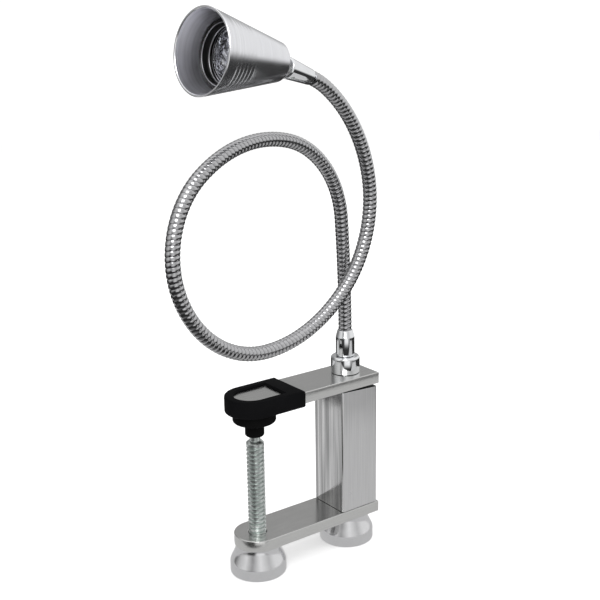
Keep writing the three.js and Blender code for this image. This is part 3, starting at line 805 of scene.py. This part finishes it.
def head_shade():
    outside = []
    for i in reversed(range(GROOVES["count"])):
        outside += groove_points(SHADE["front_z"] - GROOVES["first"] - GROOVES["pitch"] * i)
    front, mouth, corner = SHADE["front_z"], SHADE["mouth"], SHADE["corner"]
    body = [
        (SEAT["hole"], SHADE["back_z"]),
        *arc(SHADE["back"] - corner, SHADE["back_z"] + corner, corner, -90, -15, 8),
        *outside,
        (shade_radius(front - 0.35), front - 0.35),
        (mouth - 0.4, front),
        (mouth - SHADE["rim"], front),
        (mouth - SHADE["rim"] - 0.3, front - 0.4),
    ]
    floor = SEAT["floor"]
    inside = [
        (shade_radius(floor + 1) - SHADE_WALL, floor + 1),
        (shade_radius(floor) - SHADE_WALL - 1, floor),
        (SEAT["bore"], floor),
        (SEAT["bore"], SEAT["back"]),
        (SEAT["hole"], SEAT["back"]),
    ]
    vertices, faces, bands = turned_mesh(body + inside, 160)
    piece = make_piece("shade_cone", vertices, faces, [SHADE_OUTSIDE, SHADE_INSIDE], 22)
    for face, band in zip(piece.data.polygons, bands):
        face.material_index = int(band >= len(body) - 1)
    place_head(piece, "aluminium", "shade")


def retainer():
    """The black ring that holds the lamp in. Its bore shows, between two bright edges."""
    low = LAMP["rim_z"] + PLAY
    high = low + 6.0
    bore = LAMP["rim"] + 0.15

    def inside(z):
        return shade_radius(z) - SHADE_WALL

    profile = [
        (LAMP["rim"] - 0.9, low),
        (inside(low), low),
        (inside(high - 0.3), high - 0.3),
        (inside(high) - 0.4, high),
        (bore + 0.3, high),
        (bore + 0.05, high - 0.15),
        (bore, high - 0.6),
        (bore, low + 1.8),
        (bore - 0.3, low + 1.5),
        (LAMP["rim"] - 0.6, low + 1.4),
        (LAMP["rim"] - 0.85, low + 1.15),
        (LAMP["rim"] - 0.9, low + 0.8),
    ]
    bright = (4, 5, 9, 10)
    vertices, faces, bands = turned_mesh(profile, 128)
    ring = make_piece("retaining_ring", vertices, faces, [BLACK_RING, RING_EDGE], 60)
    for face, band in zip(ring.data.polygons, bands):
        face.material_index = int(band in bright)
    place_head(ring, "black_plastic", "lamp_retainer")


def reflector():
    """A pressed glass bowl with rows of mirror facets, staggered and slightly uneven."""
    random.seed(11)
    rows, around = 6, 30
    top = LAMP["rim_z"] - LAMP["rim_depth"]
    foot = LAMP["neck_z"] + 5.0
    vertices = []
    for row in range(rows + 1):
        t = row / rows
        radius = LAMP["glass"] - 0.6 + (LAMP["neck"] - 1.4 - LAMP["glass"] + 0.6) * t**1.6
        for k in range(around):
            uneven = random.uniform(-0.3, 0.3) if 0 < row < rows else 0
            angle = 2 * math.pi * (k + 0.5 * (row % 2)) / around
            spot = (radius + uneven) * math.cos(angle), (radius + uneven) * math.sin(angle)
            vertices.append((*spot, top + (foot - top) * t))
    faces = []
    for row in range(rows):
        for k in range(around):
            n = (k + 1) % around
            a, b = row * around + k, row * around + n
            c, d = a + around, b + around
            faces += [(a, c, d), (a, d, b)] if row % 2 == 0 else [(a, c, b), (b, c, d)]
    shell = [
        (LAMP["glass"] - 0.6, top),
        (LAMP["glass"] + PLAY, top),
        (LAMP["glass"] + PLAY, LAMP["rim_z"] - 0.3),
        *arc(LAMP["rim"] - 0.4, LAMP["rim_z"] - 0.4, 0.4, 90, 0, 4),
        (LAMP["rim"], top),
        (LAMP["rim"] - 1.4, top - 2.4),
        (LAMP["neck"] + 3.2, foot + 2.0),
        (LAMP["neck"], foot - 1.4),
        (LAMP["neck"], LAMP["neck_z"]),
        (LAMP["neck"] - 1.4, LAMP["neck_z"]),
        (LAMP["neck"] - 1.4, foot),
    ]
    vertices, faces = with_turned(vertices, faces, shell, 96)
    piece = make_piece("facet_reflector", vertices, faces, [MIRROR], 3)
    place_head(piece, "mirror_glass", "lamp_reflector")


def lamp_front():
    """The cover glass and the quartz capsule behind it."""
    low, high = LAMP["rim_z"] - 1.9, LAMP["rim_z"] - 0.7
    radius = LAMP["glass"]
    cover = [
        (0, low),
        *arc(radius - 0.3, low + 0.3, 0.3, -90, 0, 4),
        *arc(radius - 0.3, high - 0.3, 0.3, 0, 90, 4),
        (0, high),
    ]
    place_head(turned("cover_glass", cover, GLASS), "clear_glass", "lamp_cover_glass")
    foot = LAMP["neck_z"] + 5.9
    capsule = [
        (2.0, foot),
        (2.6, foot),
        *arc(0, foot + 6, 2.6, 0, 82, 10),
        (0.3, foot + 9.0),
        (0, foot + 9.1),
        *arc(0, foot + 6, 2.0, 90, 0, 10),
    ]
    place_head(turned("quartz_capsule", capsule, GLASS, 48), "clear_glass", "lamp_capsule")


def head_ferrule():
    """The tapered chrome ferrule at the end of the gooseneck and its set screw."""
    length, corner, wide = FERRULE["length"], FERRULE["corner"], FERRULE["wide"]
    profile = [
        (FERRULE["bore"], -0.2),
        (FERRULE["narrow"] - 0.4, -0.2),
        *arc(FERRULE["narrow"] - 0.3, 0.1, 0.3, -90, -5, 4),
        *arc(wide - corner, length - corner, corner, 5, 90, 8),
        (FERRULE["bore"], length),
    ]
    body = turned("gooseneck_ferrule", profile, CHROME, 96)
    body.matrix_world = HOSE_END
    settle(body, "arm_8", "chrome", "head_ferrule")

    screw = [
        (0, 4.5),
        (1.2, 4.5),
        (1.2, 6.35),
        (1.05, 6.5),
        (0.65, 6.5),
        (0.65, 5.6),
        (0, 5.4),
    ]
    grub = turned("grub_screw", screw, ZINC, 24)
    spin = Matrix.Rotation(math.radians(125), 4, "Z") @ Matrix.Rotation(math.pi / 2, 4, "X")
    grub.matrix_world = HOSE_END @ Matrix.Translation((0, 0, (length - 4) * MM)) @ spin
    settle(grub, "arm_8", "zinc_steel", "ferrule_set_screw")


def ball_stud():
    profile = [
        (BALL["bore"], BALL["shank_from"]),
        (BALL["shank"], BALL["shank_from"]),
        (BALL["shank"], FERRULE["length"] + 1.0),
        (BALL["neck"], FERRULE["length"] + 1.6),
        *arc(0, BALL["reach"], BALL["radius"], -61, 68, 20),
    ]
    stud = turned("ball_pin", profile, CHROME, 64)
    stud.matrix_world = HOSE_END
    settle(stud, "arm_8", "chrome", "ball_stud")


def carried_over():
    """The pieces inside the lamp keep their CAD shapes and get real surfaces."""
    finishes = {
        "tie_rod": ZINC,
        "stem_clip": ZINC,
        "inlet_lead": INSULATION,
        "ball_seat": NYLON,
        "seat_nut": NUT_ALUMINIUM,
        "lamp_base": CERAMIC,
        "lamp_socket": CERAMIC,
        "lamp_filament": TUNGSTEN,
        "lamp_pin_left": ZINC,
        "lamp_pin_right": ZINC,
    }
    finishes.update({f"lead_{i}": INSULATION for i in range(1, 9)})
    for node, material in finishes.items():
        data = frame["nodes"][node].data
        data.materials.clear()
        data.materials.append(material)
        shade(frame["nodes"][node])


# ---------------------------------------------------------------------- studio

CAMERA = {"place": (-0.44491, -0.55256, 0.37409), "azimuth": -36.36, "elevation": 15.463, "roll": -0.9636}
CAMERA_LENS = 64.51
FLOOR_RADIUS = 2.6
WALL = {"bend": 1600, "top": 6000}

# Each light's name, place, target, size, power, and whether the chrome mirrors it.
LIGHTS = (
    ("key", (-0.9, -0.9, 1.3), (-0.05, 0, 0.2), (0.9, 0.9), 10, True),
    ("fill", (1.0, -0.7, 0.9), (-0.05, 0, 0.15), (1.0, 1.0), 5, False),
    ("back", (0.3, 1.2, 1.2), (-0.05, 0, 0.2), (1.2, 0.8), 5, False),
)
CARD = {"half_size": (470, 120), "turn": -53.6, "tone": 0.9}


def camera():
    """At the photograph's viewing angle, found from the clamp's square edges."""
    azimuth, elevation, roll = (math.radians(CAMERA[k]) for k in ("azimuth", "elevation", "roll"))
    out = Vector((math.sin(azimuth), -math.cos(azimuth), 0))
    back = out * math.cos(elevation) + UP * math.sin(elevation)
    right = UP.cross(back).normalized()
    up = back.cross(right)
    across = right * math.cos(roll) + up * math.sin(roll)
    rise = up * math.cos(roll) - right * math.sin(roll)
    data = bpy.data.cameras.new("camera")
    data.lens = CAMERA_LENS
    data.clip_start = 0.01
    viewer = bpy.data.objects.new("camera", data)
    viewer.matrix_world = Matrix((across, rise, back)).transposed().to_4x4()
    viewer.matrix_world.translation = Vector(CAMERA["place"])
    bpy.context.scene.collection.objects.link(viewer)
    bpy.context.scene.camera = viewer


def area_light(name, place, target, size, power, in_reflections):
    data = bpy.data.lights.new(name, "AREA")
    data.shape = "RECTANGLE"
    data.size, data.size_y = size
    data.energy = power
    light = bpy.data.objects.new(name, data)
    light.location = place
    light.rotation_euler = (Vector(target) - Vector(place)).to_track_quat("-Z", "Y").to_euler()
    light.visible_glossy = in_reflections
    bpy.context.scene.collection.objects.link(light)


def camera_only(piece):
    """The wall is a backdrop: it neither lights the object nor shows in its chrome."""
    piece.visible_diffuse = False
    piece.visible_glossy = False
    piece.visible_transmission = False
    piece.visible_shadow = False


def floor_and_wall():
    vertices, faces, _ = turned_mesh([(0, 0), (FLOOR_RADIUS / MM, 0)], 128, closed=False)
    floor = make_piece("floor", vertices, faces, [pale_studio("floor", 0.3)])
    wall_profile = [(FLOOR_RADIUS / MM, 0.0)]
    wall_profile += arc(FLOOR_RADIUS / MM, WALL["bend"], WALL["bend"], -90, 0, 24)
    wall_profile.append((FLOOR_RADIUS / MM + WALL["bend"], WALL["top"]))
    vertices, faces, _ = turned_mesh(wall_profile, 128, closed=False)
    wall = make_piece("wall", vertices, faces, [pale_studio("wall", 0.35)])
    camera_only(wall)
    floor.visible_glossy = False


def floor_card():
    """A grey strip under the lamp, which tones down what its flat bright faces mirror."""
    turn = Matrix.Rotation(math.radians(CARD["turn"]), 3, "Z")
    corners = [turn @ Vector((x, y, -1)) for x, y in rounded_box(*CARD["half_size"], 20)]
    card = make_piece("floor_card", corners, [range(len(corners))], [pale_studio("card", 0.22, CARD["tone"])])
    card.visible_camera = False
    card.visible_diffuse = False
    card.visible_shadow = False
    card.visible_transmission = False


# Brightness of the room against the direction, in degrees from +X towards +Y: first for
# what lies below the horizon, which upright chrome mirrors, and then for what lies above.
LOWER_ROOM = (
    (-180, 0.3),
    (-173, 0.05),
    (-142, 0.05),
    (-130, 0.9),
    (-95, 1.0),
    (-86, 0.35),
    (-74, 0.3),
    (-66, 0.03),
    (38, 0.03),
    (50, 0.25),
    (60, 0.25),
    (70, 0.03),
    (134, 0.03),
    (144, 0.3),
    (180, 0.3),
)
UPPER_ROOM = (
    (-180, 0.85),
    (-150, 0.35),
    (-115, 0.9),
    (-75, 0.6),
    (-50, 0.85),
    (24, 0.85),
    (44, 0.4),
    (70, 0.34),
    (100, 0.2),
    (125, 0.2),
    (150, 0.6),
    (180, 0.85),
)
# Each layer fades in between two heights of the direction, from -1 straight down to 1
# straight up: the upper room over the lower, then the ceiling and the two parts of the
# ground, with their brightness.
HORIZON = (-0.25, 0.0)
LAYERS = ((0.5, 0.85, 0.95), (-0.31, -0.43, 0.035), (-0.75, -0.95, 0.2))
ROOM_STRENGTH = 1.0


def studio_world():
    """A soft bright room with darker sides, which give the chrome its edges."""
    world = bpy.data.worlds.new("studio")
    world.use_nodes = True
    bpy.context.scene.world = world
    tree = world.node_tree
    nodes, links = tree.nodes, tree.links
    split = nodes.new("ShaderNodeSeparateXYZ")
    links.new(nodes.new("ShaderNodeTexCoord").outputs["Generated"], split.inputs[0])
    turn = nodes.new("ShaderNodeMath")
    turn.operation = "ARCTAN2"
    links.new(split.outputs["Y"], turn.inputs[0])
    links.new(split.outputs["X"], turn.inputs[1])
    share = nodes.new("ShaderNodeMapRange")
    share.inputs["From Min"].default_value = -math.pi
    share.inputs["From Max"].default_value = math.pi
    links.new(turn.outputs[0], share.inputs["Value"])

    def ring(stops):
        ramp = nodes.new("ShaderNodeValToRGB")
        links.new(share.outputs[0], ramp.inputs["Fac"])
        elements = ramp.color_ramp.elements
        while len(elements) < len(stops):
            elements.new(1.0)
        for element, (degrees, tone) in zip(elements, stops):
            element.position = (degrees + 180) / 360
            element.color = (tone, tone, tone, 1)
        return ramp.outputs["Color"]

    def layer(below, above, start, end):
        height = nodes.new("ShaderNodeMapRange")
        height.interpolation_type = "SMOOTHSTEP"
        height.inputs["From Min"].default_value = start
        height.inputs["From Max"].default_value = end
        links.new(split.outputs["Z"], height.inputs["Value"])
        mix = nodes.new("ShaderNodeMix")
        mix.data_type = "RGBA"
        links.new(height.outputs[0], mix.inputs["Factor"])
        links.new(below, mix.inputs[6])
        if isinstance(above, bpy.types.NodeSocket):
            links.new(above, mix.inputs[7])
        else:
            mix.inputs[7].default_value = (above, above, above, 1)
        return mix.outputs[2]

    room = layer(ring(LOWER_ROOM), ring(UPPER_ROOM), *HORIZON)
    for start, end, tone in LAYERS:
        room = layer(room, tone, start, end)
    background = nodes["Background"]
    background.inputs["Strength"].default_value = ROOM_STRENGTH
    links.new(room, background.inputs["Color"])


def studio():
    studio_world()
    floor_and_wall()
    floor_card()
    for light in LIGHTS:
        area_light(*light)
    bpy.context.scene.view_settings.view_transform = "Standard"


def build():
    bars()
    spine()
    power_inlet()
    collar()
    knob("rear_mushroom", "rear_knob", "rear_knob", 0.0)
    knob("clamp_mushroom", "clamp_knob", "clamp_screw", SCREW_X)
    spindle()
    pad()
    sleeve()
    stem()
    hose()
    head_ferrule()
    ball_stud()
    head_shade()
    retainer()
    reflector()
    lamp_front()
    carried_over()


camera()
studio()
build()
